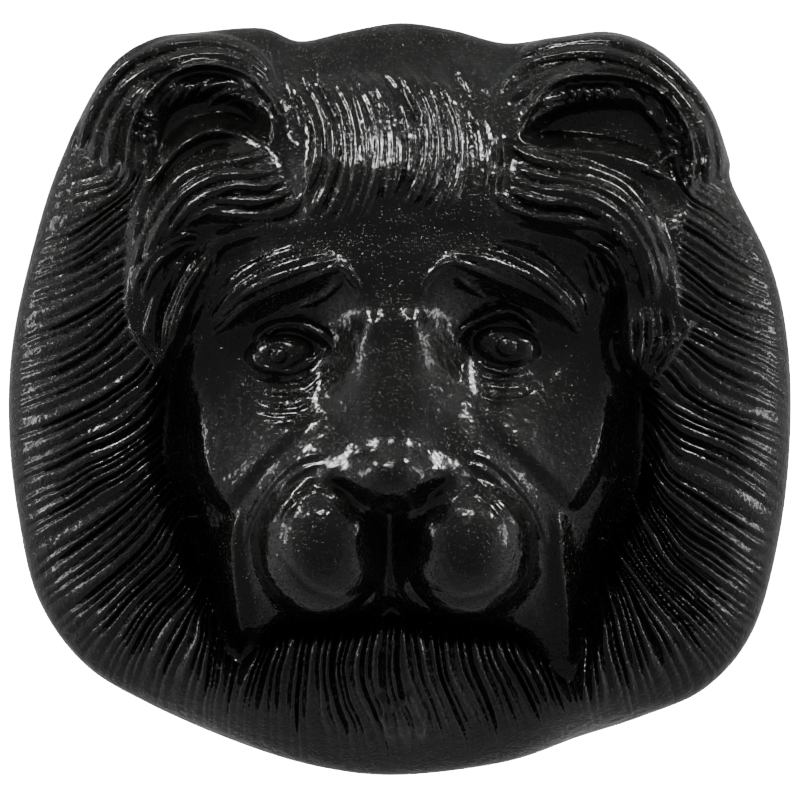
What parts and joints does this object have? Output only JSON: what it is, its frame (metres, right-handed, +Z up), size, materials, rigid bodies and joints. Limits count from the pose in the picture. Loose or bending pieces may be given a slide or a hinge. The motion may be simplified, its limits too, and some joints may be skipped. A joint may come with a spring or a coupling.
{
  "type": "lion head wall mask",
  "caption": "Cast-iron lion head mask in black gloss enamel, with a full mane and round ears and a flat, hollow back for fixing to a wall.",
  "frame": {"origin": "in the wall plane, on the back face of the web that crosses the hollow back, at the middle of the mask", "axes": "+Y into the wall, -Y the way the lion looks, +Z up, +X to the right as seen from in front"},
  "size_m": [0.2303, 0.0668, 0.2217],
  "materials": {
    "black_enamel": "gloss"
  },
  "bodies": {
    "root": {"lion_mask": "black_enamel"}
  },
  "joints": []
}
